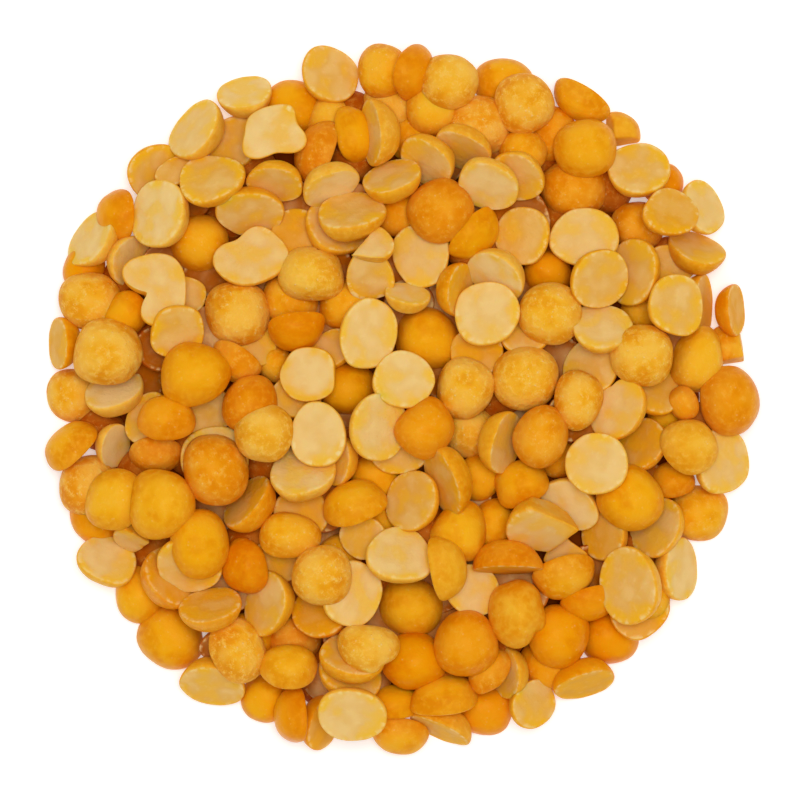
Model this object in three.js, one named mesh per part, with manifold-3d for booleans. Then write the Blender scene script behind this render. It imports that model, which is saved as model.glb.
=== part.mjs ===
// A low round heap of yellow split peas, lying loose on a flat surface.
// Every pea is a half, with a domed outer side and a flat inner face. The halves are laid one at a
// time on a height map of the heap so far. Each slides and tips a little until it lies low. Those
// that show are then joined to a plain core, which stands in for the ones underneath.
// Units are millimetres, +Z is up, and the origin is in the middle of the underside.
import * as THREE from "three";
import { mergeVertices } from "three/addons/utils/BufferGeometryUtils.js";
import Module from "manifold-3d";

const wasm = await Module();
wasm.setup();

// Driving dimensions of the heap.
const HEAP_RADIUS = 40.4; // nothing reaches past this
const WALL_FOOT = 3; // up to this height the heap's side is upright
const WALL_LEAN = 0.22; // above it, the side steps in by this much for each millimetre
const CEILING = 9.2; // a pea whose centre would lie higher than this in the middle rolls off
const CROWN = 2.2; // how much lower that limit is at the rim

// Driving dimensions of a half pea.
const LEAST_HALF_LENGTH = 3.05; // half of the flat face's long axis
const MOST_HALF_LENGTH = 3.75;
const LEAST_OVAL = 0.86; // the face's short axis over its long one
const MOST_OVAL = 1;
const LEAST_DOME = 0.84; // the thickness over half of the long axis
const MOST_DOME = 0.98;
const CHIP_SHARE = 0.1; // how many are narrow, broken chips
const CHIP_OVAL = 0.62;
const DOME_UP_SHARE = 0.56; // how many start with the dome up
const STEEPEST_LEAN = 1.9; // the tangent of the steepest lean that a pea starts with
const CENTROID = 0.375; // a half ellipsoid's centre of mass, over its thickness

// How the peas are laid.
const SEED = 11;
const RIM_ROWS = [
  { count: 34, inwards: 0 },
  { count: 34, inwards: 0.2 },
  { count: 17, inwards: 0.2 },
  { count: 31, inwards: 5.8 },
  { count: 33, inwards: 3 },
]; // the rows round the edge, in the order in which they are laid
const RIM_JITTER = 0.15; // of the space between two peas of a row
const RIM_LEAN = 0.5; // the rim's peas lean by this much of the others' lean
const LOOSE_PEAS = 240;
const TRIES = 60; // places looked at for each loose pea
const UNDER_SHARE = 0.6; // how much filling a low place counts, against lying low
const GAP_DEPTH = 60; // bare floor counts as this far down, so that gaps are filled first
const GAP_PEAS = 30; // the last peas, one over each gap
const SETTLE_RIM = { moves: 40, slide: 0.5, tip: 0.3 };
const SETTLE_LOOSE = { moves: 90, slide: 0.4, tip: 0.32 };
const SETTLE_GAP = { moves: 60, slide: 0.5, tip: 0.3 };

// The height map.
const CELL = 0.25;
const HALF_CELLS = Math.floor(HEAP_RADIUS / CELL) + 8;
const ROW_CELLS = 2 * HALF_CELLS + 1;
const LEVEL = 1e-6; // a face closer to upright than this counts as upright

// The joined solid.
const SIDES = 8; // of a pea's outline
const SHOULDER_RADIUS = 0.76; // a pea's one ring of corners between its rim and its top
const SHOULDER_HEIGHT = 0.66;
const FACET_GROWTH = 1.06; // makes up for what flat facets leave out
const SINK = 0.4; // joins each pea to what it lies on
const SHOWN_CELLS = 64; // a pea with less of the top view than this is under the others
const SIDE_RADIUS = 35.5; // past this, peas show from the side
const CORE_SIDES = 36;
const CORE_OUTLINE = [
  [0, 0],
  [36.4, 0],
  [36.4, 2.4],
  [34.4, 4.6],
  [28, 6],
  [0, 6.8],
]; // radius and height
const WELD = 1e-4; // corners closer than this are one

// The next of a seeded series of numbers from 0 to 1.
let series = SEED;
function draw() {
  series = (series * 1664525 + 1013904223) % 4294967296;
  return series / 4294967296;
}

function between(low, high) {
  return low + (high - low) * draw();
}

// A pea of its own size, with the side that it starts on and how it leans.
function newPea() {
  const long = between(LEAST_HALF_LENGTH, MOST_HALF_LENGTH);
  let short = long * between(LEAST_OVAL, MOST_OVAL);
  const thick = long * between(LEAST_DOME, MOST_DOME);
  if (draw() < CHIP_SHARE) short = long * CHIP_OVAL;
  const up = draw() < DOME_UP_SHARE ? 1 : -1;
  const turn = between(0, 2 * Math.PI);
  const lean = STEEPEST_LEAN * draw() ** 2;
  const way = between(0, 2 * Math.PI);
  return { long, short, thick, up, turn, leanX: lean * Math.cos(way), leanY: lean * Math.sin(way) };
}

// A pea's long axis, its short axis, and the way that its dome points.
function axesOf(pea) {
  const dome = new THREE.Vector3(pea.leanX, pea.leanY, pea.up).normalize();
  const long = new THREE.Vector3(Math.cos(pea.turn), Math.sin(pea.turn), 0);
  long.addScaledVector(dome, -long.dot(dome)).normalize();
  return [long, new THREE.Vector3().crossVectors(dome, long), dome];
}

// The height map: the top of the heap over each cell, and the pea that is on top there.
const tops = new Float64Array(ROW_CELLS * ROW_CELLS);
const owners = new Int32Array(ROW_CELLS * ROW_CELLS).fill(-1);

function cellAt(i, j) {
  return (i + HALF_CELLS) * ROW_CELLS + j + HALF_CELLS;
}

// Calls visit(cell, x, y, low, high) for each cell that the pea covers. low and high are its
// underside and its top there, measured from the middle of its face.
function overCells(pea, visit) {
  const axes = axesOf(pea);
  const sizes = [pea.long, pea.short, pea.thick];
  const dome = axes[2];
  const upright = Math.abs(dome.z) > LEVEL ? dome.z : LEVEL;
  const reach = Math.max(...sizes);
  for (let i = Math.ceil((pea.x - reach) / CELL); i <= (pea.x + reach) / CELL; i++) {
    for (let j = Math.ceil((pea.y - reach) / CELL); j <= (pea.y + reach) / CELL; j++) {
      const dx = i * CELL - pea.x;
      const dy = j * CELL - pea.y;
      // Where an upright line crosses the whole ellipsoid: a z² + 2 b z + c = 0.
      let a = 0;
      let b = 0;
      let c = -1;
      axes.forEach((axis, k) => {
        const flat = (dx * axis.x + dy * axis.y) / sizes[k];
        const rise = axis.z / sizes[k];
        a += rise * rise;
        b += flat * rise;
        c += flat * flat;
      });
      const inside = b * b - a * c;
      if (inside <= 0) continue;
      const root = Math.sqrt(inside);
      let low = (-b - root) / a;
      let high = (-b + root) / a;
      // The flat face cuts the ellipsoid in half.
      const face = -(dx * dome.x + dy * dome.y) / upright;
      if (dome.z > 0) low = Math.max(low, face);
      else high = Math.min(high, face);
      if (low < high) visit(cellAt(i, j), i * CELL, j * CELL, low, high);
    }
  }
}

// How a pea lies when it is let down on the heap: the height of its face's middle and of its centre
// of mass, and the mean height of what is under it. Null where it would stick out of the side.
function rest(pea) {
  let height = -Infinity;
  let far = 0;
  let under = 0;
  let count = 0;
  overCells(pea, (cell, x, y, low) => {
    height = Math.max(height, tops[cell] - low);
    far = Math.max(far, x * x + y * y);
    under += tops[cell] || -GAP_DEPTH;
    count++;
  });
  const centre = height + axesOf(pea)[2].z * CENTROID * pea.thick;
  const side = HEAP_RADIUS - WALL_LEAN * Math.max(0, centre - WALL_FOOT);
  if (count === 0 || Math.sqrt(far) > side) return null;
  return { height, centre, under: under / count };
}

// Moves and tips the pea a little at a time, keeps each move that lets it lie lower, and adds it to
// the heap unless it rolls off.
const peas = [];
function settleAndLay(pea, { moves, slide, tip }) {
  let lies = rest(pea);
  for (let k = 0; k < moves; k++) {
    const left = 1 - k / moves;
    const moved = { ...pea };
    moved.x += between(-slide, slide) * left;
    moved.y += between(-slide, slide) * left;
    moved.leanX += between(-tip, tip) * left;
    moved.leanY += between(-tip, tip) * left;
    const next = rest(moved);
    if (next && (!lies || next.centre < lies.centre)) {
      pea = moved;
      lies = next;
    }
  }
  const outwards = Math.hypot(pea.x, pea.y) / HEAP_RADIUS;
  if (!lies || lies.centre > CEILING - CROWN * outwards ** 2) return;
  pea.z = lies.height;
  overCells(pea, (cell, x, y, low, high) => {
    if (pea.z + high <= tops[cell]) return;
    tops[cell] = pea.z + high;
    owners[cell] = peas.length;
  });
  peas.push(pea);
}

// The rim: rows of peas round the edge, which give the heap its round outline.
RIM_ROWS.forEach(({ count, inwards }, row) => {
  for (let i = 0; i < count; i++) {
    const pea = newPea();
    const step = i + 0.5 * row + between(-RIM_JITTER, RIM_JITTER);
    const angle = (step * 2 * Math.PI) / count;
    const radius = HEAP_RADIUS - pea.long - inwards;
    pea.x = radius * Math.cos(angle);
    pea.y = radius * Math.sin(angle);
    pea.leanX *= RIM_LEAN;
    pea.leanY *= RIM_LEAN;
    settleAndLay(pea, SETTLE_RIM);
  }
});

// The loose peas: each takes the lowest of the places looked at.
for (let i = 0; i < LOOSE_PEAS; i++) {
  const pea = newPea();
  let best = null;
  for (let k = 0; k < TRIES; k++) {
    const radius = (HEAP_RADIUS - LEAST_HALF_LENGTH) * Math.sqrt(draw());
    const angle = between(0, 2 * Math.PI);
    const there = { ...pea, x: radius * Math.cos(angle), y: radius * Math.sin(angle) };
    const lies = rest(there);
    if (!lies) continue;
    const low = lies.centre * (1 - UNDER_SHARE) + lies.under * UNDER_SHARE;
    const score = low - CROWN * (1 - (radius / HEAP_RADIUS) ** 2);
    if (!best || score < best.score) best = { score, there };
  }
  if (best) settleAndLay(best.there, SETTLE_LOOSE);
}

// The places where the floor still shows.
function gaps() {
  const places = [];
  const edge = (HEAP_RADIUS - LEAST_HALF_LENGTH) / CELL;
  for (let i = -HALF_CELLS; i <= HALF_CELLS; i++) {
    for (let j = -HALF_CELLS; j <= HALF_CELLS; j++) {
      if (tops[cellAt(i, j)] === 0 && Math.hypot(i, j) < edge) places.push({ x: i * CELL, y: j * CELL });
    }
  }
  return places;
}

// The last peas: each lies over one of them.
for (let i = 0; i < GAP_PEAS; i++) {
  const places = gaps();
  if (places.length === 0) break;
  const pea = newPea();
  settleAndLay({ ...pea, ...places[Math.floor(draw() * places.length)] }, SETTLE_GAP);
}

// A closed shape turned about +Z, from an outline of radius and height.
function turned(outline, sides) {
  const points = outline.map(([radius, height]) => new THREE.Vector2(radius, height));
  return new THREE.LatheGeometry(points, sides).rotateX(Math.PI / 2);
}

// The same shape as a solid that can be joined to others.
function solidOf(geometry) {
  geometry.deleteAttribute("normal");
  geometry.deleteAttribute("uv");
  const merged = mergeVertices(geometry, WELD);
  return new wasm.Manifold(
    new wasm.Mesh({
      numProp: 3,
      vertProperties: merged.attributes.position.array,
      triVerts: new Uint32Array(merged.index.array),
    }),
  );
}

// A half pea with few facets: its flat face down and its dome up, one unit each way.
const PEA_OUTLINE = [
  [0, 0],
  [1, 0],
  [SHOULDER_RADIUS, SHOULDER_HEIGHT],
  [0, 1],
];

function placedPea(pea) {
  const [long, short, dome] = axesOf(pea);
  long.multiplyScalar(pea.long * FACET_GROWTH);
  short.multiplyScalar(pea.short * FACET_GROWTH);
  dome.multiplyScalar(pea.thick * FACET_GROWTH);
  const place = new THREE.Matrix4().makeBasis(long, short, dome);
  place.setPosition(pea.x, pea.y, pea.z - SINK);
  return turned(PEA_OUTLINE, SIDES).applyMatrix4(place);
}

// The peas that show from above or from the side.
const cellsOf = new Array(peas.length).fill(0);
for (const owner of owners) {
  if (owner >= 0) cellsOf[owner]++;
}
const shown = peas.filter((pea, i) => cellsOf[i] >= SHOWN_CELLS || Math.hypot(pea.x, pea.y) > SIDE_RADIUS);

// The core and the shown peas as one solid, level underneath. Only its outer shell is kept, so that
// a hollow shut in between peas is filled, and a pea that touches nothing is dropped.
function heapSolid() {
  const solids = [solidOf(turned(CORE_OUTLINE, CORE_SIDES))];
  for (const pea of shown) solids.push(solidOf(placedPea(pea)));
  const joined = wasm.Manifold.union(solids).trimByPlane([0, 0, 1], 0);
  const shells = joined.decompose();
  shells.sort((a, b) => b.volume() - a.volume());
  return shells[0].getMesh();
}

function heapGeometry() {
  const solid = heapSolid();
  const geometry = new THREE.BufferGeometry();
  geometry.setAttribute("position", new THREE.BufferAttribute(solid.vertProperties, 3));
  geometry.setIndex(new THREE.BufferAttribute(solid.triVerts, 1));
  geometry.computeVertexNormals();
  return geometry;
}

// Dry, waxy yellow seed flesh.
const peaFlesh = new THREE.MeshStandardMaterial({ color: 0xe2a23c, roughness: 0.55, metalness: 0 });

const heap = new THREE.Mesh(heapGeometry(), peaFlesh);
heap.name = "split_peas";

const group = new THREE.Group();
group.add(heap);

export default group;
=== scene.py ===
# %% [markdown]
# # A heap of yellow split peas
#
# A split pea is one half of a dry pea: a smooth dome on the outside and a flat, paler face where
# the two halves came apart. Poured out, the halves lie every way up, about half of them showing
# the dome, and some stand on edge. This notebook lays such a heap pea by pea over a low core and
# gives each kind of pea its own waxy, slightly see-through flesh.

# %% The tools and the frame
import math
from types import SimpleNamespace
import bmesh
import bpy
import numpy as np
from mathutils import Matrix, Vector


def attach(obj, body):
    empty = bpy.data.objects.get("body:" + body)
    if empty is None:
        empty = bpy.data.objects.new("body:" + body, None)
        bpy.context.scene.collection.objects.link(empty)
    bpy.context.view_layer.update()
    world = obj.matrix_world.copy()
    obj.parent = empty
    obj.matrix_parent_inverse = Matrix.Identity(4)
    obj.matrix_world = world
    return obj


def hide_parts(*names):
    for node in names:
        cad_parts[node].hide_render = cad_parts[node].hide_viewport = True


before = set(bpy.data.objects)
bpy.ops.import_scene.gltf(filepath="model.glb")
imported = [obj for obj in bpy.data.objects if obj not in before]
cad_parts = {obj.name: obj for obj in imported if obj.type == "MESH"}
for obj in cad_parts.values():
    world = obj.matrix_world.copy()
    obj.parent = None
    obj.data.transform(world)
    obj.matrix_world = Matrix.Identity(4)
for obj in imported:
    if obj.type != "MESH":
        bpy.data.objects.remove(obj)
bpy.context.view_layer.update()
MM = 0.001
SEED = 11
random = np.random.default_rng(SEED)

# %% [markdown]
# ## One half, made with bmesh
#
# The dome could come from a UV sphere, but its pole makes a star in the highlight. A cube whose
# sides are cut into a grid and pushed out to a sphere has even, four-sided faces instead. A plane
# cuts it in half, the cut is closed and its edge is bevelled. Two inset rings keep the face flat up
# to a crisp edge when a Subdivision Surface modifier rounds the cage off later.

# %% A half pea's cage
EDGE_ROUNDING = 0.055  # of the half's radius, as are the next two
EDGE_RING = 0.07
FACE_RING = 0.4
CUT_REACH = 1e-4  # a point nearer to the plane than this counts as on it
PLAIN = 2  # cuts along a cube's side
FINE = 5  # for the few odd shapes, which have finer outlines
GROWTH = {PLAIN: (1.1, 1.1, 1.1), FINE: (1.05, 1.05, 1.04)}  # makes up for what rounding takes

def closed_cut(bm, point, normal):
    """Cuts away the side that the normal points to, closes the hole and gives its rim."""
    parts = bm.verts[:] + bm.edges[:] + bm.faces[:]
    bmesh.ops.bisect_plane(bm, geom=parts, dist=CUT_REACH, plane_co=point, plane_no=normal,
                           clear_outer=True)
    rim = [e for e in bm.edges if e.is_boundary]
    bmesh.ops.contextual_create(bm, geom=rim)
    return rim

def softened(bm, edges):
    bmesh.ops.bevel(bm, geom=edges, offset=EDGE_ROUNDING, offset_type="OFFSET", segments=1,
                    profile=0.5, affect="EDGES", material=-1)

def half_pea(cuts=PLAIN):
    """A half of radius 1 with its flat face at z = 0 and its dome above."""
    bm = bmesh.new()
    bmesh.ops.create_cube(bm, size=2)
    bmesh.ops.subdivide_edges(bm, edges=bm.edges[:], cuts=cuts, use_grid_fill=True)
    for v in bm.verts:
        v.co.normalize()
    rim = closed_cut(bm, (0, 0, 0), (0, 0, -1))
    for v in {v for e in rim for v in e.verts}:
        v.co.normalize()
    softened(bm, rim)
    flat = max(bm.faces, key=lambda f: len(f.verts))
    for ring in (EDGE_RING, FACE_RING):
        bmesh.ops.inset_region(bm, faces=[flat], thickness=ring)
    bmesh.ops.scale(bm, vec=GROWTH[cuts], verts=bm.verts)
    return bm

cage = half_pea()
print("half pea:", len(cage.faces), "faces")
cage.free()

# %% [markdown]
# ## Odd shapes
#
# Splitting breaks some peas further. A broken side is one more plane cut with a softened edge. A
# dent in the outline, as in the heart-shaped and the comma-shaped halves, is a smooth push of the
# points near one side towards the upright axis.

# %% Outlines pushed in, and broken sides
STILL_MIDDLE = 0.6  # points nearer to the upright axis than this are pushed less and less
BREAK_SLOPE = 0.3  # how much a broken side faces upwards
EGG_NARROWS, EGG_FLATTENS = 0.16, 0.08
SCRAP_THICKNESS, SCRAP_WARP = 0.5, 0.14

def pushed(*pushes):
    """A half whose outline is pushed in, or out where the depth is negative. Each push has its way in
    degrees, its depth as a share of the radius, and its width in degrees."""
    bm = half_pea(FINE)
    for v in bm.verts:
        way, scale = math.degrees(math.atan2(v.co.y, v.co.x)), 1
        for middle, depth, width in pushes:
            apart = (way - middle + 180) % 360 - 180
            scale -= depth * math.exp(-((apart / width) ** 2))
        v.co.xy *= 1 + (scale - 1) * min(1, v.co.xy.length / STILL_MIDDLE)
    return bm

def broken(*cuts):
    """A half with flat broken sides: for each, its way in degrees and its distance from the middle."""
    bm = half_pea()
    for way, reach in cuts:
        x, y = math.cos(math.radians(way)), math.sin(math.radians(way))
        softened(bm, closed_cut(bm, (x * reach, y * reach, 0), (x, y, BREAK_SLOPE)))
    return bm

def egg():
    """A half that narrows towards one end of its long axis."""
    bm = half_pea()
    for v in bm.verts:
        v.co.y *= 1 - EGG_NARROWS * v.co.x
        v.co.z *= 1 - EGG_FLATTENS * v.co.x
    return bm

def wavy():
    """A thin scrap with four corners, sagging between them."""
    bm = pushed((-22, 0.24, 22), (180, 0.2, 26), (78, 0.36, 34), (-100, 0.08, 24), (-57, -0.12, 16))
    for v in bm.verts:
        v.co.z = v.co.z * SCRAP_THICKNESS + SCRAP_WARP * (v.co.x * v.co.y + v.co.y**2)
    return bm

SHAPES = {
    "half": half_pea,
    "egg": egg,
    "wavy": wavy,
    "heart": lambda: pushed((-115, 0.3, 17), (-60, -0.06, 20)),
    "comma": lambda: pushed((-107, 0.86, 27), (-160, 0.1, 20)),
    "nick": lambda: pushed((9, 0.12, 13), (-32, -0.04, 14)),
    "lobed": lambda: pushed((-81, 0.2, 10), (-112, -0.05, 10), (-138, 0.2, 12)),
    "stepped": lambda: pushed((-49, 0.14, 15), (-80, -0.05, 14)),
    "notched": lambda: pushed((-50, 0.3, 18)),
    "broken": lambda: broken((-55, 0.72), (35, 0.84)),
    "corner": lambda: broken((-50, 0.6), (-155, 0.66)),
    "quarter": lambda: broken((-130, 0.42), (115, 0.74)),
    "wedge": lambda: broken((28, 0.5), (-62, 0.66)),
}

# %% Cages as meshes, with a mark on their cut faces
SAME_SIDE = 0.96  # two faces whose normals have a larger dot product than this are one flat side
DOME_CORNERS = 8  # only a cut face has more corners than this

cage_meshes = {}
for name, make in SHAPES.items():
    bm = make()
    bmesh.ops.recalc_face_normals(bm, faces=bm.faces[:])
    cut = bm.verts.layers.float.new("cut")
    sides = [f.normal.copy() for f in bm.faces if len(f.verts) > DOME_CORNERS or f.normal.z < -SAME_SIDE]
    for v in bm.verts:
        near = [max(f.normal.dot(side) for side in sides) for f in v.link_faces]
        v[cut] = sum(dot > SAME_SIDE for dot in near) / len(near)
    cage_meshes[name] = bpy.data.meshes.new(name + "_cage")
    bm.to_mesh(cage_meshes[name])
    bm.free()
print({name: len(mesh.polygons) for name, mesh in cage_meshes.items()})

# %% [markdown]
# ## Which pea lies where
#
# From above, about two hundred peas can be told apart. Each line below is one of them, read off
# the photo: the middle of what shows (pixels of the 800 pixel frame), the length and width of
# its flat face (pixels), the turn of its long axis (degrees from the right, anticlockwise), the side
# that is up, how far that side leans and which way (degrees), how pale it is (0 deep orange to 1
# cream), and its shape. A side named frosty is a dome whose skin is rubbed pale. The lists go from
# the peas on the floor to those on top.

# %% The peas by how high they lie
# A pea's tone holds its own paleness together with the light it gets. Peas lying low in shade have deeper
# tones and some leaning faces paler ones, so the tones carry painted shade and painted light as well as
# each pea's own colour.
ON_THE_FLOOR = """
620 132 44 40 -30 dome 10 60 0.5 corner
294 107 58 54 0 dome 5 90 0.35 half
238 144 56 52 60 face 20 150 0.5 half
390 108 56 52 0 frosty 10 90 0.3 half
85 268 48 42 70 dome 20 180 0.25 half
64 343 52 47 95 face 62 180 0.4 half
212 412 52 48 0 face 10 0 0.5 half
735 348 50 46 -20 dome 15 0 0.2 wedge
95 520 54 46 -40 dome 18 220 0.25 half
293 634 56 50 0 dome 5 90 0.05 half
664 184 42 40 0 dome 10 0 0.2 half
297 235 50 46 0 face 12 90 0.3 half
277 362 36 34 60 dome 15 180 0.35 half
189 297 40 36 0 face 10 0 0.55 half
327 118 44 44 0 dome 10 90 0.4 half
412 138 50 46 0 dome 10 90 0.3 half
256 347 46 42 0 face 12 60 0.5 half
668 266 52 40 0 face 10 0 0.6 half
376 476 50 46 0 dome 10 0 0.35 half
385 518 46 42 0 dome 10 0 0.4 half
664 416 38 34 0 dome 10 0 0.4 half
551 662 60 54 0 dome 10 270 0.25 half
"""
LOW = """
331 77 60 56 0 face 30 40 0.6 half
430 112 54 52 0 dome 8 300 0.45 half
503 80 58 50 0 dome 15 90 0.3 half
581 98 62 48 -33 dome 66 235 0.3 half
248 95 56 58 10 face 54 100 0.85 half
154 172 58 55 40 face 30 -40 0.5 half
116 215 54 52 95 dome 60 180 0.25 half
95 238 60 58 60 face 52 150 0.85 half
128 260 52 50 0 face 52 -20 0.75 half
199 245 60 58 0 dome 5 0 0.36 half
316 150 64 50 62 dome 64 160 0.1 half
331 228 64 60 20 face 40 50 0.55 half
400 213 54 50 0 dome 10 180 0.2 half
474 124 66 58 -10 frosty 10 60 0.2 half
702 208 56 50 -65 face 45 25 0.75 half
698 251 62 58 -25 face 58 70 0.5 half
636 225 54 50 0 dome 5 0 0.25 half
89 301 62 58 0 frosty 8 180 0.35 half
123 315 56 42 50 dome 28 230 0.3 half
69 395 56 50 100 frosty 12 180 0.35 half
115 392 62 56 18 face 52 105 0.95 half
72 447 60 56 42 dome 66 132 0.3 half
290 300 56 52 0 dome 5 0 0.3 half
345 305 58 54 0 dome 6 180 0.3 half
347 390 58 54 0 dome 6 270 0.3 half
547 272 48 44 0 dome 10 0 0.2 half
587 368 60 54 -20 face 25 160 0.6 half
475 352 54 50 0 face 15 90 0.3 half
468 430 54 50 0 frosty 6 200 0.5 half
698 306 62 50 88 face 66 0 0.45 half
731 312 52 50 98 face 66 3 0.25 half
652 392 56 54 -20 face 34 60 0.4 half
681 404 35 32 -60 dome 25 200 0.2 half
723 460 66 60 90 face 31 0 0.7 half
673 479 46 40 20 dome 35 90 0.2 half
676 570 62 58 100 face 54 0 0.72 half
588 602 58 50 15 dome 64 -75 0.2 half
560 458 40 34 60 dome 20 0 0.2 half
88 486 60 56 90 frosty 12 180 0.2 half
300 512 54 50 0 face 10 90 0.42 half
338 552 44 40 0 dome 15 90 0.3 half
362 536 44 44 60 face 12 180 0.65 half
480 475 48 44 60 dome 12 0 0.4 half
563 550 46 42 0 face 15 270 0.35 corner
495 525 54 48 90 dome 8 0 0.35 half
583 680 62 54 33 face 60 -75 0.35 half
533 700 52 46 20 face 34 10 0.62 half
487 712 56 52 0 dome 10 270 0.22 half
512 671 50 46 78 face 58 185 0.5 half
441 726 62 50 -24 face 70 246 0.4 half
402 734 56 46 -18 dome 48 270 0.3 half
320 724 58 50 65 face 56 -20 0.3 half
262 700 50 44 70 dome 15 250 0.35 half
211 682 64 58 -18 face 50 262 0.68 half
139 595 56 48 100 dome 15 200 0.4 half
109 561 58 52 -30 face 34 60 0.75 half
396 704 50 46 -10 dome 58 85 0.3 half
611 637 58 54 0 dome 10 300 0.2 half
638 611 60 56 45 face 15 120 0.3 half
555 133 56 46 80 dome 40 0 0.22 half
523 151 48 44 0 dome 10 90 0.3 half
640 314 40 36 0 dome 10 0 0.3 half
521 336 50 49 0 face 31 90 0.62 half
250 638 54 50 0 dome 10 0 0.3 half
277 558 50 46 0 face 10 0 0.35 half
650 598 50 46 90 dome 20 0 0.3 half
218 456 66 64 0 face 10 80 0.75 half
296 398 52 46 0 face 35 60 0.5 half
"""
MIDDLE = """
384 70 54 52 90 dome 10 200 0.35 half
411 71 56 50 72 dome 60 -15 0.15 half
450 82 58 56 0 frosty 10 90 0.42 half
198 130 64 60 50 face 50 140 0.72 half
254 212 66 60 -5 face 45 275 0.6 half
173 170 40 30 40 face 30 100 0.45 half
274 182 57 50 -15 face 52 258 0.55 half
350 132 60 46 85 dome 56 15 0.36 half
378 132 68 48 98 face 66 185 0.5 half
330 181 58 52 28 face 58 -70 1 half
427 158 58 54 -35 face 48 225 0.62 half
369 277 56 46 95 face 31 270 0.66 egg
420 254 62 59 90 face 16 180 0.75 half
460 148 56 54 -25 face 55 250 0.5 half
515 174 54 54 30 face 42 235 0.5 half
572 187 68 58 0 dome 6 250 0.15 half
474 233 62 54 48 dome 66 320 0.3 half
641 172 64 60 15 face 36 75 0.62 half
675 213 56 52 -10 face 32 45 0.3 half
637 274 66 60 85 face 40 175 0.5 half
153 291 78 68 100 face 12 60 0.75 comma
176 330 56 54 0 face 28 -45 0.5 half
238 360 52 48 -35 dome 62 240 0.25 half
148 416 55 54 90 face 37 160 0.6 half
249 402 60 54 90 dome 10 90 0 half
112 445 46 42 100 face 55 -20 0.9 half
295 332 58 54 12 dome 60 280 0.14 half
398 448 60 50 0 face 15 270 0.6 half
407 295 46 44 8 face 60 80 1 half
455 288 54 52 70 face 60 -10 0.4 half
697 358 66 52 80 dome 10 0 0.48 egg
728 399 70 60 100 dome 10 0 0.15 half
616 407 68 58 55 face 30 165 0.6 notched
641 444 56 52 60 face 37 150 0.3 half
701 513 60 57 0 dome 8 320 0.35 half
657 530 58 56 60 face 40 150 0.55 half
604 531 56 52 80 face 42 180 0.35 half
564 576 64 56 20 dome 60 -70 0.3 half
155 453 54 48 0 dome 50 270 0.1 half
337 460 54 54 90 face 50 180 0.66 half
268 600 65 59 70 face 43 170 0.66 half
318 614 58 54 -35 face 26 120 0.2 half
464 531 60 54 80 dome 10 0 0.45 egg
474 590 58 50 -30 face 20 0 0.92 half
558 638 64 60 80 dome 10 0 0.25 half
443 694 68 58 6 dome 70 95 0.35 half
491 672 50 42 60 dome 45 130 0.22 half
292 715 56 54 75 dome 74 180 0.22 half
239 652 66 56 -65 frosty 30 30 0.35 half
168 638 68 60 -40 dome 10 220 0.35 half
168 579 68 62 110 face 46 35 0.25 half
188 566 66 64 0 face 31 270 0.6 half
137 541 46 40 -5 face 56 250 0.5 wedge
350 673 68 60 -20 face 44 60 0.6 half
332 348 46 41 30 face 34 120 0.66 half
"""
HIGH = """
525 104 60 60 20 frosty 5 270 0.28 half
211 181 64 62 0 face 36 105 0.5 half
160 214 70 62 95 face 34 155 0.95 half
394 177 60 56 12 face 55 110 0.6 half
350 217 70 64 8 face 53 95 0.5 half
373 243 46 43 20 face 34 90 0.7 quarter
442 212 64 62 30 dome 5 90 0.12 half
487 183 62 58 -15 face 42 250 0.75 half
585 149 62 60 0 dome 6 45 0.28 half
522 232 58 56 90 face 22 175 0.5 half
584 235 68 60 0 face 13 120 0.76 half
599 275 62 59 0 face 25 -30 0.65 half
603 327 60 60 20 face 38 85 0.72 half
107 352 70 66 10 frosty 4 90 0.4 half
196 374 70 64 0 dome 15 90 0.26 egg
167 418 56 50 0 dome 40 90 0.2 half
238 313 66 63 90 frosty 5 60 0.3 half
311 274 66 54 -5 frosty 8 120 0.6 half
309 370 59 54 0 face 16 180 0.92 nick
428 336 64 62 0 dome 6 100 0.3 half
262 433 60 56 0 frosty 8 120 0.5 half
381 430 66 62 90 face 31 0 0.78 half
498 273 62 54 -30 face 48 235 1 half
550 315 62 60 0 frosty 6 200 0.45 half
524 376 67 64 0 frosty 4 60 0.42 half
467 388 62 57 80 frosty 10 180 0.45 half
578 402 62 50 -105 frosty 12 30 0.35 egg
499 443 62 55 75 face 58 -15 0.6 half
676 306 60 60 80 face 25 20 0.66 half
643 353 63 61 0 frosty 6 100 0.4 half
688 446 58 55 20 dome 22 45 0.5 half
631 501 68 60 -50 dome 8 120 0.35 half
573 506 64 46 -38 face 30 235 1 half
633 587 78 64 105 face 34 185 0.68 half
198 546 66 60 90 dome 8 40 0.35 half
246 566 58 52 80 dome 38 200 0 half
112 501 62 57 70 dome 10 180 0.45 half
304 473 68 64 0 face 44 92 0.7 half
249 503 66 60 50 face 66 140 0.32 half
355 502 64 58 22 dome 64 110 0.35 half
290 534 60 48 -8 dome 30 90 0.35 egg
353 597 64 58 60 face 10 0 0.72 half
412 608 60 60 0 dome 6 80 0.44 half
448 483 70 59 -65 face 62 205 0.4 half
518 483 56 50 30 dome 25 120 0.28 half
447 567 64 48 -72 dome 72 10 0.5 half
510 560 72 60 0 face 80 270 0.12 half
520 616 70 56 95 dome 8 100 0.36 lobed
349 712 70 58 0 face 22 280 0.76 half
288 666 58 50 -5 dome 38 90 0.42 half
208 612 62 56 15 face 56 100 0.35 half
352 660 66 60 -20 face 52 80 0.42 half
413 664 62 56 0 dome 8 90 0.2 half
"""
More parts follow.
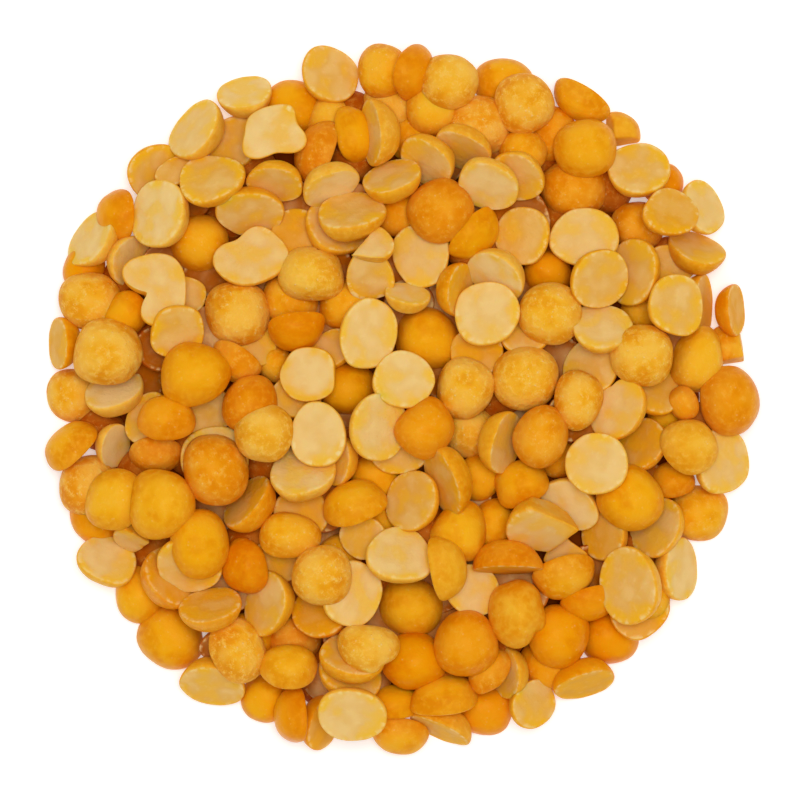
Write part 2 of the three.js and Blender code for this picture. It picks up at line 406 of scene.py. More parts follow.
TOPMOST = """
271 137 68 63 0 face 13 120 1 wavy
251 256 72 58 10 face 13 90 0.7 heart
366 333 70 59 75 face 14 350 0.85 half
404 380 62 56 -20 face 16 60 0.9 half
318 433 63 57 95 face 13 180 0.85 egg
424 428 62 54 50 dome 8 60 0.2 half
486 314 65 62 20 face 13 100 0.82 half
543 437 66 54 65 dome 8 60 0.24 half
598 463 62 60 0 face 13 120 0.8 half
214 472 72 64 100 dome 8 60 0.18 half
160 505 70 67 90 dome 4 150 0.4 half
411 500 62 58 95 face 34 155 0.5 half
398 555 68 60 5 face 32 60 0.82 half
323 575 60 60 0 frosty 8 250 0.35 half
538 525 72 62 -5 face 47 270 0.7 broken
467 645 64 62 0 dome 4 80 0.2 half
367 648 62 48 -10 frosty 14 100 0.62 stepped
"""
# Each layer is keyed by the height of its middle and of its highest peas near the heap's centre, in mm.
LAYERS = {
    (2, 5.2): ON_THE_FLOOR, (4, 7.3): LOW, (5.5, 9.2): MIDDLE, (7, 10.4): HIGH, (8, 11.15): TOPMOST,
}
print("peas read off:", [len(layer.strip().split("\n")) for layer in LAYERS.values()])

# %% [markdown]
# ## A height map of the heap
#
# To lay peas without one passing through another, the heap is kept as a map: a fine grid over the
# floor with the heap's height at each point. A pea is half an ellipsoid, so a formula gives its
# underside and its top over each grid point. Let down from above, it comes to rest where its
# underside first meets the map.

# %% Sizes in millimetres, and the map
FRAME_PIXELS = 800
PHOTO_MIDDLE = (400, 397)  # the heap's middle, in pixels
PIXEL = 0.1124
SHARP_HEIGHT = 5  # where a pixel has that size: at half of the heap's height
LENS = 180
SENSOR = 36
CAMERA_HEIGHT = FRAME_PIXELS * PIXEL * LENS / SENSOR + SHARP_HEIGHT
HEAP_RADIUS = 40.4
CORE_RADIUS = 34
CORE_HEIGHT = 3.2
CORE_ROUNDNESS = 0.5
CELL = 0.25
MARGIN = 8  # cells round the heap
EVEN = 1e-6  # a slope smaller than this counts as this, so that nothing is divided by zero

half_cells = int(HEAP_RADIUS / CELL) + MARGIN
line = (np.arange(2 * half_cells + 1) - half_cells) * CELL
map_x, map_y = np.meshgrid(line, line, indexing="ij")
outwards = np.hypot(map_x, map_y)

def core_height(radius):
    return CORE_HEIGHT * np.clip(1 - (radius / CORE_RADIUS) ** 2, 0, 1) ** CORE_ROUNDNESS

tops = core_height(outwards)
owners = np.full(tops.shape, -1)
peas = []
print("map:", tops.shape, "points")

# %% A pea over the map
def axes_of(pea):
    """Its long axis, its short axis, and the way its dome points."""
    dome = np.array([pea["lean_x"], pea["lean_y"], pea["up"]], float)
    dome /= np.linalg.norm(dome)
    long = np.array([math.cos(pea["turn"]), math.sin(pea["turn"]), 0])
    long -= dome * (long @ dome)
    long /= np.linalg.norm(long)
    return long, np.cross(dome, long), dome

def over_map(pea):
    """The part of the map near the pea, where the pea covers it, and its underside and top there."""
    reach = max(pea["long"], pea["short"], pea["thick"])
    low = [max(0, math.ceil((pea[k] - reach) / CELL) + half_cells) for k in "xy"]
    high = [math.floor((pea[k] + reach) / CELL) + half_cells + 1 for k in "xy"]
    part = (slice(low[0], high[0]), slice(low[1], high[1]))
    dx, dy = map_x[part] - pea["x"], map_y[part] - pea["y"]
    # Where an upright line crosses the whole ellipsoid: a z² + 2 b z + c = 0.
    a, b, c = 0, 0, -1
    axes = axes_of(pea)
    for axis, size in zip(axes, (pea["long"], pea["short"], pea["thick"])):
        flat, rise = (dx * axis[0] + dy * axis[1]) / size, axis[2] / size
        a, b, c = a + rise * rise, b + flat * rise, c + flat * flat
    inside = b * b - a * c
    root = np.sqrt(np.maximum(inside, 0))
    under, top = (-b - root) / a, (-b + root) / a
    dome = axes[2]
    face = -(dx * dome[0] + dy * dome[1]) / (dome[2] if abs(dome[2]) > EVEN else EVEN)
    if dome[2] > 0:
        under = np.maximum(under, face)
    else:
        top = np.minimum(top, face)
    return part, (inside > 0) & (under < top), under, top

def lay(pea):
    """Adds the pea to the map and to the list."""
    part, covered, _, top = over_map(pea)
    higher = covered & (pea["z"] + top > tops[part])
    tops[part] = np.where(higher, pea["z"] + top, tops[part])
    owners[part] = np.where(higher, len(peas), owners[part])
    peas.append(pea)

# %% [markdown]
# ## Laying the peas that were read off
#
# Each pea is let down in its place and then shifted and tipped a little at a time, as long as that
# brings it lower, the way a real one settles. It may press a few points of its underside into its
# neighbours, which a heap modelled from exact halves needs if it isn't to look propped up. No pea
# lies higher than its layer allows, which is less towards the heap's edge.

# %% Rest and settle
PRESS = 0.06  # the share of its underside that may sink in
SETTLE_MOVES = 24
SLIDE = 0.1  # the longest first move, in mm
TIP = 0.03  # the largest first change of slope
SHOULDER_DROP = 2.4  # how much lower the highest peas lie at the edge, in mm
SHOULDER_POWER = 3  # the drop grows with this power of the distance from the middle
CENTROID = 0.375  # how far up the dome a half's centre of mass lies

def rest(pea):
    """The height at which it rests when it is let down, and the height of its centre of mass."""
    part, covered, under, _ = over_map(pea)
    gaps = np.sort((tops[part] - under)[covered])
    height = gaps[-1 - int(PRESS * len(gaps))]
    return height, height + axes_of(pea)[2][2] * CENTROID * pea["thick"]

def settled(pea, highest):
    height, centre = rest(pea)
    for k in range(SETTLE_MOVES):
        left = 1 - k / SETTLE_MOVES
        moved = dict(pea)
        for key, most in (("x", SLIDE), ("y", SLIDE), ("lean_x", TIP), ("lean_y", TIP)):
            moved[key] += random.uniform(-most, most) * left
        moved_height, moved_centre = rest(moved)
        if moved_centre < centre:
            pea, height, centre = moved, moved_height, moved_centre
    _, covered, under, top = over_map(pea)
    far = math.hypot(pea["x"], pea["y"]) / HEAP_RADIUS
    allowed = highest - SHOULDER_DROP * far**SHOULDER_POWER
    too_high = height + top[covered].max() - allowed
    pea["z"] = max(height - max(0, too_high), -under[covered].min())
    return pea

# %% One line of a list as a pea
THINNEST, THICKEST = 0.84, 0.96  # a dome's height over half of the long axis
MOST_FROST = 0.5  # on a dome that isn't named frosty, where 1 is a frosty one's

def read_pea(text, height):
    # A pea nearer to the camera than half of the heap's height looks a little larger, so it is smaller.
    pixel = PIXEL * (CAMERA_HEIGHT - height) / (CAMERA_HEIGHT - SHARP_HEIGHT)
    x, y, long, short, turn, side, lean, way, tone, shape = text.split()
    up = -1 if side == "face" else 1
    slope = up * math.tan(math.radians(float(lean)))
    way = math.radians(float(way))
    pea = {
        "x": 0, "y": 0, "up": up, "turn": math.radians(float(turn)),
        "tone": float(tone), "shape": shape,
        "frost": 1 if side == "frosty" else random.uniform(0, MOST_FROST),
        "long": float(long) * pixel / 2, "short": float(short) * pixel / 2,
        "lean_x": slope * math.cos(way), "lean_y": slope * math.sin(way),
    }
    pea["thick"] = pea["long"] * random.uniform(THINNEST, THICKEST)
    # The place is that of the middle of what shows, which a leaning dome shifts from the face's.
    part, covered, _, _ = over_map(pea)
    seen_x, seen_y = map_x[part][covered], map_y[part][covered]
    pea["x"] = (float(x) - PHOTO_MIDDLE[0]) * pixel - (seen_x.min() + seen_x.max()) / 2
    pea["y"] = (PHOTO_MIDDLE[1] - float(y)) * pixel - (seen_y.min() + seen_y.max()) / 2
    return pea

for (height, highest), layer in LAYERS.items():
    for text in layer.strip().split("\n"):
        lay(settled(read_pea(text, height), highest))
    print(len(peas), "peas laid, highest point", round(tops.max(), 1), "mm")

# %% [markdown]
# ## The peas underneath
#
# Between the peas on top, others show deep in the gaps. They can lie any way, so they are drawn at
# random: each is tried in several places under the bare spots that are left, and goes where it fills
# the most while it stays tucked in below its neighbours. A few small spots stay open, as in the
# photo.

# %% One pea drawn at random
HALF_LENGTHS = (2.8, 3.6)  # in mm
OVALS = (0.84, 1)  # width over length
MOST_SLOPE = 0.9
TONES_UNDERNEATH = (0.1, 0.8)
FROST_UNDERNEATH = 0.3

def random_pea():
    long = random.uniform(*HALF_LENGTHS)
    lean, way = MOST_SLOPE * random.random() ** 2, random.uniform(0, 2 * math.pi)
    return {
        "long": long, "short": long * random.uniform(*OVALS),
        "thick": long * random.uniform(THINNEST, THICKEST), "up": random.choice((-1, 1)),
        "turn": random.uniform(0, math.pi), "lean_x": lean * math.cos(way), "lean_y": lean * math.sin(way),
        "tone": random.uniform(*TONES_UNDERNEATH), "shape": "half", "frost": FROST_UNDERNEATH,
    }

print("the peas underneath are from", 2 * HALF_LENGTHS[0], "to", 2 * HALF_LENGTHS[1], "mm long")

# %% Filling the gaps from below
UNDER_RADIUS = 37.2  # bare spots farther out than this stay bare, in mm
UNDER_REACH = 39  # and no pea underneath reaches farther than this
OPEN_SPOTS = [(153, 385), (553, 599), (88, 450), (204, 642), (670, 268)]  # in pixels
OPEN_RADIUS = 1
ROUNDS = 500
PLACES_TRIED = 14
SCATTER = 2  # how far from a bare spot a pea may be tried, in mm
FEWEST_FILLED = 9  # grid points
TUCKED_UNDER = 1  # the lowest per cent of the neighbours' surface isn't looked at
CLEARANCE = 0.25  # from there down to the pea's own top, in mm
PLAY = 0.15  # a pea whose top comes this close to a neighbour's, in mm, shows through it
POKE_COST = 4  # filled points that one such point outweighs

keep_open = np.zeros(tops.shape, bool)
for x, y in OPEN_SPOTS:
    spot_x, spot_y = (x - PHOTO_MIDDLE[0]) * PIXEL, (PHOTO_MIDDLE[1] - y) * PIXEL
    keep_open |= np.hypot(map_x - spot_x, map_y - spot_y) < OPEN_RADIUS
on_top = len(peas)

for _ in range(ROUNDS):
    bare = (owners < 0) & (outwards < UNDER_RADIUS) & ~keep_open
    spots_x, spots_y = map_x[bare], map_y[bare]
    if len(spots_x) < FEWEST_FILLED:
        break
    best_score, best = FEWEST_FILLED, None
    for _ in range(PLACES_TRIED):
        pea, spot = random_pea(), random.integers(len(spots_x))
        pea["x"] = spots_x[spot] + random.uniform(-SCATTER, SCATTER)
        pea["y"] = spots_y[spot] + random.uniform(-SCATTER, SCATTER)
        part, covered, under, top = over_map(pea)
        if outwards[part][covered].max() > UNDER_REACH:
            continue
        beside = covered & (owners[part] >= 0)
        lowest = -under[covered].min()
        tucked = np.percentile((tops[part] - top)[beside], TUCKED_UNDER) if beside.any() else lowest
        pea["z"] = max(lowest, tucked - CLEARANCE)
        shows = covered & (pea["z"] + top > tops[part])
        pokes = beside & (pea["z"] + top + PLAY > tops[part])
        score = (shows & bare[part]).sum() - POKE_COST * pokes.sum()
        if score > best_score:
            best_score, best = score, pea
    if best:
        lay(best)
still_bare = (owners[outwards < UNDER_RADIUS] < 0).mean()
print(len(peas) - on_top, "peas underneath;", round(100 * still_bare, 1), "% still bare")

# %% The heap's shape so far
RING = 5
rings = [(outwards >= r) & (outwards < r + RING) for r in range(0, int(HEAP_RADIUS), RING)]
print("mean height of each ring:", [round(float(tops[ring].mean()), 1) for ring in rings])

# %% [markdown]
# ## From places to pieces
#
# Every pea could be an object of its own, but hundreds of them are slow to handle. So the peas are
# sorted by kind, and each kind becomes one mesh. A pea's cage is added to it, gets a wavy outline
# and a few smooth swellings of its own so that no two are alike, and is then sized, turned and moved
# with one matrix. The points also carry what the materials need: the pea's tone and frost, the
# point's spot on the plain half, and its place in millimetres, shifted for each pea, which the
# patterns follow.

# %% The kinds of pea
KINDS = {"orange_halves": 0.26, "golden_halves": 0.38, "amber_halves": 0.5, "yellow_halves": 0.7,
         "pale_halves": math.inf}  # each kind's tones are lower than this
WHOLE_SHAPES = ("half", "egg")

def kind_of(number):
    pea = peas[number]
    if number >= on_top:
        return "halves_underneath"
    if pea["shape"] not in WHOLE_SHAPES:
        return "broken_halves"
    return next(kind for kind, limit in KINDS.items() if pea["tone"] < limit)

by_kind = {}
for number in range(len(peas)):
    by_kind.setdefault(kind_of(number), []).append(peas[number])
print({kind: len(members) for kind, members in by_kind.items()})

# %% One pea added to a mesh
OUTLINE_WAVES = ((2, 0.022), (3, 0.03), (4, 0.022), (5, 0.014), (6, 0.008))  # how many round, how deep
SWELLINGS = 3
SWELL = 0.026  # how high each is
SWELL_WAVES = 1.9  # the larger this is, the smaller the swellings are across
PHASES = 9  # the first ones shift the outline's waves, and the last ones the swellings
DISH = 0.012  # how far a flat face usually sinks in at its middle
SINK = 0.12  # how far all peas are sunk into what they lie on, in mm
FLOOR_GAP = 0.02  # but no lower than this, in mm
SHIFT = 60  # the patterns' longest shift, in mm

def add_pea(bm, pea):
    start = len(bm.verts)
    bm.from_mesh(cage_meshes[pea["shape"]])
    bm.verts.ensure_lookup_table()
    points = bm.verts[start:]
    tone, frost = (bm.verts.layers.float[name] for name in ("tone", "frost"))
    spot, own = (bm.verts.layers.float_vector[name] for name in ("spot", "own"))
    phases = random.uniform(0, 2 * math.pi, PHASES)
    waves = [(count, random.normal(0, depth)) for count, depth in OUTLINE_WAVES]
    swellings = list(zip(random.normal(0, SWELL_WAVES, (SWELLINGS, 3)), phases[-SWELLINGS:]))
    dish = abs(random.normal(0, DISH))
    sizes = Vector([pea[key] for key in ("long", "short", "thick")])
    shift = Vector(random.uniform(0, SHIFT, 3))
    for v in points:
        way, out = math.atan2(v.co.y, v.co.x), v.co.xy.length
        v[tone], v[frost], v[spot] = pea["tone"], pea["frost"], v.co
        wave = sum(depth * math.cos(count * way + phase) for (count, depth), phase in zip(waves, phases))
        swell = sum(math.sin(v.co.dot(ripple) + phase) for ripple, phase in swellings)
        v.co.xy *= 1 + wave * out
        v.co *= 1 + SWELL * swell
        v.co.z += dish * max(0, 1 - out) * (v[spot].z < EDGE_ROUNDING)
        v[own] = v.co * sizes + shift
    long, short, dome = axes_of(pea)
    turned = Matrix([long, short, dome]).transposed().to_4x4()
    place = Matrix.Translation((pea["x"], pea["y"], pea["z"] - SINK))
    bmesh.ops.transform(bm, matrix=place @ turned @ Matrix.Diagonal(sizes).to_4x4(), verts=points)
    for v in points:
        v.co.z = max(v.co.z, FLOOR_GAP)

# %% One mesh for each kind
def linked(name, bm):
    """The finished mesh, in metres, as an object at the origin."""
    bmesh.ops.scale(bm, vec=(MM, MM, MM), verts=bm.verts)
    mesh = bpy.data.meshes.new(name)
    bm.to_mesh(mesh)
    bm.free()
    mesh.shade_smooth()
    piece = bpy.data.objects.new(name, mesh)
    bpy.context.scene.collection.objects.link(piece)
    return piece

pieces = {}
for kind, members in by_kind.items():
    bm = bmesh.new()
    for name in ("tone", "frost"):
        bm.verts.layers.float.new(name)
    for name in ("spot", "own"):
        bm.verts.layers.float_vector.new(name)
    for pea in members:
        add_pea(bm, pea)
    pieces[kind] = linked(kind, bm)
print({kind: len(piece.data.polygons) for kind, piece in pieces.items()})

# %% [markdown]
# ## Rounding and unevenness
#
# A Subdivision Surface modifier rounds the cages. A Displace modifier with a soft cloud texture then
# gives the flesh its shallow dimples as real relief. The peas underneath only show in the gaps, so
# one level of rounding is enough there.

# %% Modifiers
ROUNDING, ROUNDING_UNDERNEATH = 2, 1  # levels
DIMPLE_SIZE = 1.5 * MM
DIMPLE_DEPTH = 0.07 * MM

dimples = bpy.data.textures.new("dimples", "CLOUDS")
dimples.noise_scale = DIMPLE_SIZE
dimples.noise_depth = 1
for kind, piece in pieces.items():
    rounding = piece.modifiers.new("rounding", "SUBSURF")
    rounding.levels = ROUNDING_UNDERNEATH if kind == "halves_underneath" else ROUNDING
    rounding.render_levels = rounding.levels
    relief = piece.modifiers.new("relief", "DISPLACE")
    relief.texture = dimples
    relief.texture_coords = "LOCAL"
    relief.strength = DIMPLE_DEPTH
print("dimples", DIMPLE_SIZE / MM, "mm wide and", DIMPLE_DEPTH / MM, "mm deep")

# %% [markdown]
# ## The core
#
# Under all the peas lies a low mound that stands for the ones nobody sees. It could be a flattened
# half sphere, but the height map already has its outline. Here half of that outline is spun round
# the upright axis and closed underneath. Its flesh is the darkest, so that a glimpse of it between
# two peas looks like shade.

# %% The core, spun from half an outline
CORE_STEPS = 64
CORE_RINGS = 14
CORE_DROP = 0.35  # how much lower it is than in the map, so that no pea cuts into it, in mm
SAME_PLACE = 0.01

bm = bmesh.new()
radii = [CORE_RADIUS * (1 - k / CORE_RINGS) for k in range(CORE_RINGS + 1)]
outline = [bm.verts.new((0, 0, 0)), bm.verts.new((CORE_RADIUS, 0, 0))]
outline += [bm.verts.new((r, 0, max(core_height(r) - CORE_DROP, FLOOR_GAP))) for r in radii]
edges = [bm.edges.new(pair) for pair in zip(outline, outline[1:])]
bmesh.ops.spin(bm, geom=outline + edges, axis=(0, 0, 1), cent=(0, 0, 0), steps=CORE_STEPS,
               angle=2 * math.pi, use_merge=True)
bmesh.ops.remove_doubles(bm, verts=bm.verts[:], dist=SAME_PLACE)
bmesh.ops.recalc_face_normals(bm, faces=bm.faces[:])
pieces["heap_core"] = linked("heap_core", bm)
print("core:", len(pieces["heap_core"].data.polygons), "faces")

# %% [markdown]
# ## Pea flesh
#
# The domed side is smooth and waxy, a saturated orange-yellow with paler clouds and tiny raised
# specks. The flat side is drier and paler, and brightens to a clear yellow at its rounded edge. Light
# goes a little way into the flesh, which is why the gaps glow orange instead of going black. An
# image wrapped round each half would show a seam, so nodes work all of it out from the pea's own
# coordinates, and the pattern turns with each pea.

# %% Helpers for materials
def linear(red, green, blue):
    """A colour as a screen shows it, 0 to 255, as the light it stands for, by the usual formula."""
    parts = [c / 255 for c in (red, green, blue)]
    return tuple(c / 12.92 if c <= 0.04045 else ((c + 0.055) / 1.055) ** 2.4 for c in parts) + (1,)

def add(tree, kind, inputs=(), **settings):
    """A new node, with each input linked if its value is a socket and set if it isn't."""
    made = tree.nodes.new(kind)
    for key, value in settings.items():
        setattr(made, key, value)
    for key, value in dict(inputs).items():
        if isinstance(value, bpy.types.NodeSocket):
            tree.links.new(value, made.inputs[key])
        else:
            made.inputs[key].default_value = value
    return made

def step(tree, value, low, high, least=0.0, most=1.0):
    """Goes smoothly from least to most while value goes from low to high."""
    ends = {"Value": value, "From Min": low, "From Max": high, "To Min": least, "To Max": most}
    return add(tree, "ShaderNodeMapRange", ends, interpolation_type="SMOOTHSTEP").outputs["Result"]

def product(tree, one, two):
    return add(tree, "ShaderNodeMath", {0: one, 1: two}, operation="MULTIPLY").outputs[0]

def times_plus(tree, value, times, plus):
    return add(tree, "ShaderNodeMath", {0: value, 1: times, 2: plus}, operation="MULTIPLY_ADD").outputs[0]

def blend(tree, share, one, two):
    return add(tree, "ShaderNodeMix", {0: share, 6: one, 7: two}, data_type="RGBA").outputs[2]

print("linear light of a mid grey:", round(linear(128, 128, 128)[0], 3))

# %% What each point carries, and the patterns on it
CLOUD_SCALE, MOTTLE_SCALE, GRAIN_SCALE, SPECK_SCALE = 0.36, 1.4, 6, 1.5  # per mm

def noise(tree, place, scale, detail):
    inputs = {"Vector": place, "Scale": scale, "Detail": detail}
    return add(tree, "ShaderNodeTexNoise", inputs).outputs["Fac"]

def patterns(tree):
    """tone, frost and cut as the points carry them, out: the share of the way from the upright axis
    to the outline, and clouds, mottle, grain and speck: the patterns, from large to small."""
    carried = {name: add(tree, "ShaderNodeAttribute", attribute_name=name).outputs
               for name in ("own", "spot", "cut", "tone", "frost")}
    own, spot = carried["own"]["Vector"], carried["spot"]["Vector"]
    flat = add(tree, "ShaderNodeVectorMath", {0: spot, 1: (1, 1, 0)}, operation="MULTIPLY").outputs[0]
    dots = add(tree, "ShaderNodeTexVoronoi", {"Vector": own, "Scale": SPECK_SCALE}).outputs["Distance"]
    return SimpleNamespace(
        **{name: carried[name]["Fac"] for name in ("cut", "tone", "frost")},
        out=add(tree, "ShaderNodeVectorMath", {0: flat}, operation="LENGTH").outputs["Value"],
        clouds=noise(tree, own, CLOUD_SCALE, 1),
        mottle=noise(tree, own, MOTTLE_SCALE, 2),
        grain=noise(tree, own, GRAIN_SCALE, 1),
        speck=step(tree, dots, 0.06, 0.24, 1, 0),
    )

# %% [markdown]
# ## The domed skin
#
# A dome could be one colour with one noise over it, but a real skin is layered, and so is this one. It
# starts between the kind's two colours, gets deeper and lighter clouds, a painted highlight on its crown
# and painted shade at its rim, and then what rubbing has left: a pale frost in patches and in fine grain,
# scars, and specks.
# The frosty peas show all of these much more than the others.

# %% The dome's colours
FROST = linear(249, 199, 90)
# A pale colour for rubbed spots, also used for the painted highlight along a flat face's rounded edge.
SCUFF_AND_GLINT = linear(248, 218, 150)

def dome_colour(tree, on, deep, light, bloom, tones):
    """deep and light: the kind's two colours; bloom: how much frost even a clean dome has; tones:
    between which tones a pea turns from deep to light."""
    skin = blend(tree, step(tree, on.tone, *tones), deep, light)
    skin = blend(tree, step(tree, on.clouds, 0.3, 0.5, 0.6, 0), skin, deep)
    skin = blend(tree, step(tree, on.clouds, 0.48, 0.7, 0, 0.7), skin, light)
    # Painted highlight: the crown is lighter. Painted shade: the rim is deeper.
    skin = blend(tree, step(tree, on.out, 0, 0.6, 0.5, 0), skin, light)
    skin = blend(tree, step(tree, on.out, 0.55, 1, 0, 0.6), skin, deep)
    skin = blend(tree, step(tree, on.mottle, 0.38, 0.66, 0, 0.4), skin, light)

    dull = product(tree, times_plus(tree, on.frost, 0.65, bloom), step(tree, on.frost, -0.2, 1, 0.4, 1))
    patches = step(tree, on.clouds, 0.38, 0.68, 0.1, 0.8)
    skin = blend(tree, product(tree, patches, dull), skin, FROST)
    rubbed = product(tree, step(tree, on.grain, 0.4, 0.7), step(tree, on.mottle, 0.4, 0.62))
    skin = blend(tree, product(tree, rubbed, dull), skin, FROST)
    scars = product(tree, step(tree, on.mottle, 0.56, 0.76), step(tree, on.frost, 0, 1, 0, 0.7))
    skin = blend(tree, scars, skin, FROST)
    specks = product(tree, on.speck, step(tree, on.mottle, 0.44, 0.6, 0, 0.5))
    return blend(tree, product(tree, specks, step(tree, on.frost, 0, 1, 0.3, 1.2)), skin, SCUFF_AND_GLINT)

# %% [markdown]
# ## The flat face
#
# Where the halves came apart, the flesh is bare and mealy. A plain pale colour would look like
# plastic, so it is scuffed in clouds, more on a paler pea. Its edge is a ring of clear yellow, and
# the rounding itself is pale in places, partly worn and partly a painted highlight along the edge.

# %% The flat face's colours
def face_colour(tree, on, face, rim):
    """face and rim: the colours of its middle and of its edge."""
    meal = blend(tree, product(tree, product(tree, on.tone, on.tone), 0.5), face, SCUFF_AND_GLINT)
    meal = blend(tree, step(tree, on.clouds, 0.5, 0.34, 0, 0.5), meal, rim)
    scuffed = times_plus(tree, on.tone, 0.4, 0.05)
    meal = blend(tree, product(tree, step(tree, on.clouds, 0.45, 0.68), scuffed), meal, SCUFF_AND_GLINT)
    meal = blend(tree, product(tree, step(tree, on.mottle, 0.5, 0.8, 0, 0.6), scuffed), meal, SCUFF_AND_GLINT)
    ring = product(tree, step(tree, on.out, 0.6, 1.02), step(tree, on.clouds, 0.6, 0.4, 0.15, 0.8))
    meal = blend(tree, ring, meal, rim)
    # The rounded edge is paled in places: partly wear, partly a painted highlight where the edge catches
    # the light.
    worn_edge_and_glint = product(tree, step(tree, on.out, 0.93, 1.03), step(tree, on.mottle, 0.44, 0.58, 0.05, 0.9))
    return blend(tree, worn_edge_and_glint, meal, SCUFF_AND_GLINT)

# %% [markdown]
# ## The whole flesh
#
# One shader covers both sides, because they meet in a soft edge: the cut mark blends from one to the
# other. Its highlights are tinted like the flesh, which keeps them waxy instead of wet, and frost
# makes a dome rougher and its relief stronger.

# %% The shader
FACE_ROUGHNESS = 0.6
FROST_ROUGHNESS = 0.18  # added to the dome's where it is frosty
RELIEF = 0.12 * MM
MOTTLE_RELIEF, SPECK_RELIEF = 1.4, 0.3
GLINT = linear(255, 206, 110)
BENDING = 1.45  # index of refraction
SEE_THROUGH = 0.3
LIGHT_REACH = (1.0, 0.4, 0.06)  # how far red, green and blue go into the flesh, in mm
WAXY_SHINE = 0.17

def pea_flesh(name, deep, light, rim, face, bloom, tones, sheen, shine=WAXY_SHINE):
    """One kind's material; sheen: the dome's roughness; shine: how strongly it mirrors."""
    material = bpy.data.materials.new(name)
    material.use_nodes = True
    tree = material.node_tree
    tree.nodes.clear()
    on = patterns(tree)
    skin = dome_colour(tree, on, deep, light, bloom, tones)
    meal = face_colour(tree, on, face, rim)
    height = times_plus(tree, on.mottle, MOTTLE_RELIEF, product(tree, on.speck, SPECK_RELIEF))
    uneven = step(tree, on.frost, 0, 1, 0.3, 1)
    bump = add(tree, "ShaderNodeBump", {"Height": height, "Strength": uneven, "Distance": RELIEF})
    gloss = times_plus(tree, on.frost, FROST_ROUGHNESS, sheen)
    rough = add(tree, "ShaderNodeMix", {0: step(tree, on.cut, 0, 1), 2: gloss, 3: FACE_ROUGHNESS},
                data_type="FLOAT").outputs[0]
    shader = add(tree, "ShaderNodeBsdfPrincipled", {
        "Base Color": blend(tree, step(tree, on.cut, 0.2, 0.8), skin, meal),
        "Roughness": rough, "Normal": bump.outputs["Normal"],
        "IOR": BENDING, "Specular IOR Level": shine, "Specular Tint": GLINT,
        "Subsurface Weight": SEE_THROUGH, "Subsurface Radius": LIGHT_REACH, "Subsurface Scale": MM,
    })
    surface = add(tree, "ShaderNodeOutputMaterial")
    tree.links.new(shader.outputs["BSDF"], surface.inputs["Surface"])
    return material

# %% Each kind's own flesh
FLESH = {
    "orange_halves": dict(deep=linear(226, 126, 0), light=linear(243, 158, 0), rim=linear(240, 166, 2),
                          face=linear(230, 154, 20), bloom=0.02, sheen=0.3, tones=(0, 0.26)),
    "golden_halves": dict(deep=linear(226, 132, 0), light=linear(246, 172, 8), rim=linear(243, 174, 4),
                          face=linear(229, 158, 24), bloom=0.035, sheen=0.34, tones=(0, 0.38)),
    "amber_halves": dict(deep=linear(228, 138, 0), light=linear(248, 180, 20), rim=linear(244, 178, 8),
                         face=linear(229, 161, 36), bloom=0.04, sheen=0.36, tones=(0.2, 0.5)),
    "yellow_halves": dict(deep=linear(232, 150, 8), light=linear(247, 186, 42), rim=linear(244, 184, 16),
                          face=linear(229, 165, 52), bloom=0.04, sheen=0.38, tones=(0.3, 0.7)),
    "pale_halves": dict(deep=linear(238, 166, 30), light=linear(249, 200, 84), rim=linear(246, 192, 44),
                        face=linear(233, 180, 90), bloom=0.04, sheen=0.42, tones=(0.5, 1)),
    "broken_halves": dict(deep=linear(232, 144, 0), light=linear(248, 188, 46), rim=linear(244, 184, 16),
                          face=linear(233, 178, 92), bloom=0.04, sheen=0.38, tones=(0.1, 1)),
}
# The peas underneath and the core get deeper, darker flesh than those on top: painted shade, for the shade
# they lie in deep in the gaps.
FLESH["halves_underneath"] = dict(FLESH["golden_halves"], tones=(0, 1), deep=linear(172, 76, 0),
                                  light=linear(186, 92, 0), face=linear(174, 92, 4), rim=linear(178, 92, 0),
                                  bloom=0, shine=0.05)
FLESH["heap_core"] = dict(FLESH["halves_underneath"], deep=linear(112, 44, 0), light=linear(128, 54, 0))
for kind, piece in pieces.items():
    piece.data.materials.append(pea_flesh(kind + "_flesh", **FLESH[kind]))
print(len(FLESH), "fleshes")

# %% [markdown]
# ## Every piece rides on the frame
#
# The whole heap is one body. All pieces together stand for the one solid of the CAD model.

# %% Ride and replace
for piece in pieces.values():
    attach(piece, "root")
    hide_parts("split_peas")
print(sorted(pieces))

# %% [markdown]
# ## Floor and light
#
# The peas lie on a plain white ground under one large soft light straight above, with the room's
# white filling in from all round. That keeps the tops bright and lets the gaps fall off to brown.

# %% Floor
FLOOR_SIDE = 3
FLOOR_WHITE = (0.93, 0.93, 0.93, 1)
FLOOR_ROUGHNESS = 0.8
FLOOR_GLOW = 0.3  # so that it looks white between the shadows
WHITE = (1, 1, 1, 1)

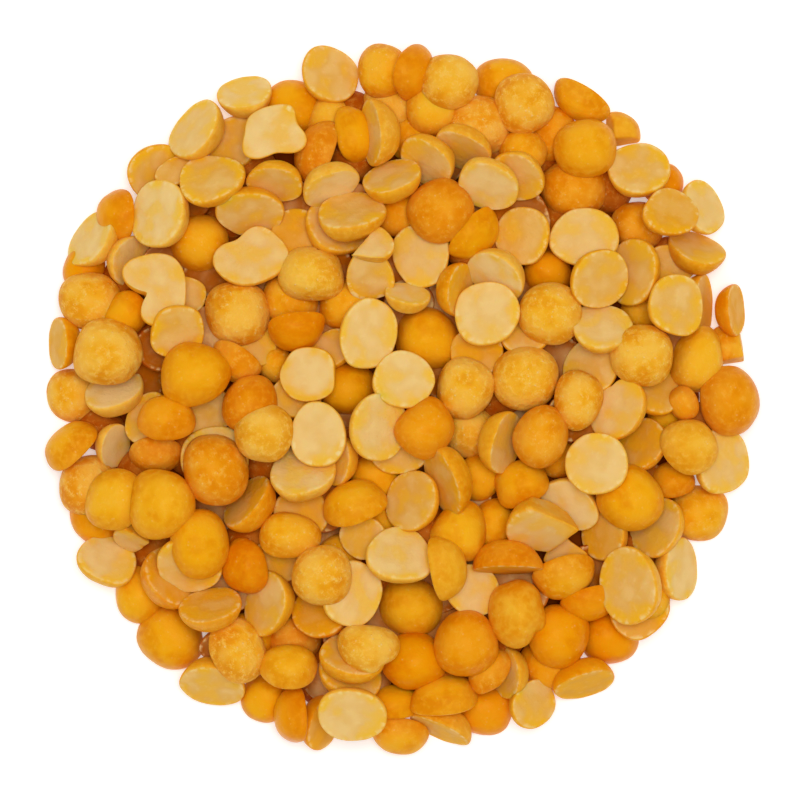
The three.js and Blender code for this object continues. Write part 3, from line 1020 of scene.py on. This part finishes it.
bm = bmesh.new()
bmesh.ops.create_grid(bm, x_segments=1, y_segments=1, size=FLOOR_SIDE / 2)
floor_mesh = bpy.data.meshes.new("floor")
bm.to_mesh(floor_mesh)
bm.free()
floor = bpy.data.objects.new("floor", floor_mesh)
bpy.context.scene.collection.objects.link(floor)
ground = bpy.data.materials.new("white_ground")
ground.use_nodes = True
for socket, value in (("Base Color", FLOOR_WHITE), ("Roughness", FLOOR_ROUGHNESS),
                      ("Emission Color", WHITE), ("Emission Strength", FLOOR_GLOW)):
    ground.node_tree.nodes["Principled BSDF"].inputs[socket].default_value = value
floor_mesh.materials.append(ground)
print("floor", FLOOR_SIDE, "m across")

# %% Lights
ROOM_LIGHT = 0.5
SOFTBOX_SIDE = 0.3
SOFTBOX_HEIGHT = 0.7
SOFTBOX_AWAY = (0.03, 0.06)
SOFTBOX_POWER = 2.3

world = bpy.data.worlds.new("room")
world.use_nodes = True
world.node_tree.nodes["Background"].inputs["Color"].default_value = WHITE
world.node_tree.nodes["Background"].inputs["Strength"].default_value = ROOM_LIGHT
bpy.context.scene.world = world
softbox = bpy.data.lights.new("softbox", "AREA")
softbox.shape = "SQUARE"
softbox.size = SOFTBOX_SIDE
softbox.energy = SOFTBOX_POWER
lamp = bpy.data.objects.new("softbox", softbox)
lamp.location = (*SOFTBOX_AWAY, SOFTBOX_HEIGHT)
bpy.context.scene.collection.objects.link(lamp)
bpy.context.scene.view_settings.view_transform = "Standard"
print("softbox", SOFTBOX_SIDE, "m across,", SOFTBOX_HEIGHT, "m up")

# %% [markdown]
# ## Camera
#
# The photo looks straight down from some way off, so a long lens is used. Its distance follows from
# the scale: the 800 pixel frame is 90 mm wide at half of the heap's height.

# %% Camera
NEAREST, FARTHEST = 0.01, 10  # what it sees, in metres

view = bpy.data.cameras.new("camera")
view.lens = LENS
view.sensor_width = SENSOR
view.clip_start, view.clip_end = NEAREST, FARTHEST
camera = bpy.data.objects.new("camera", view)
camera.location = (0, (PHOTO_MIDDLE[1] - FRAME_PIXELS / 2) * PIXEL * MM, CAMERA_HEIGHT * MM)
bpy.context.scene.collection.objects.link(camera)
bpy.context.scene.camera = camera
print("camera", round(CAMERA_HEIGHT), "mm above the floor")
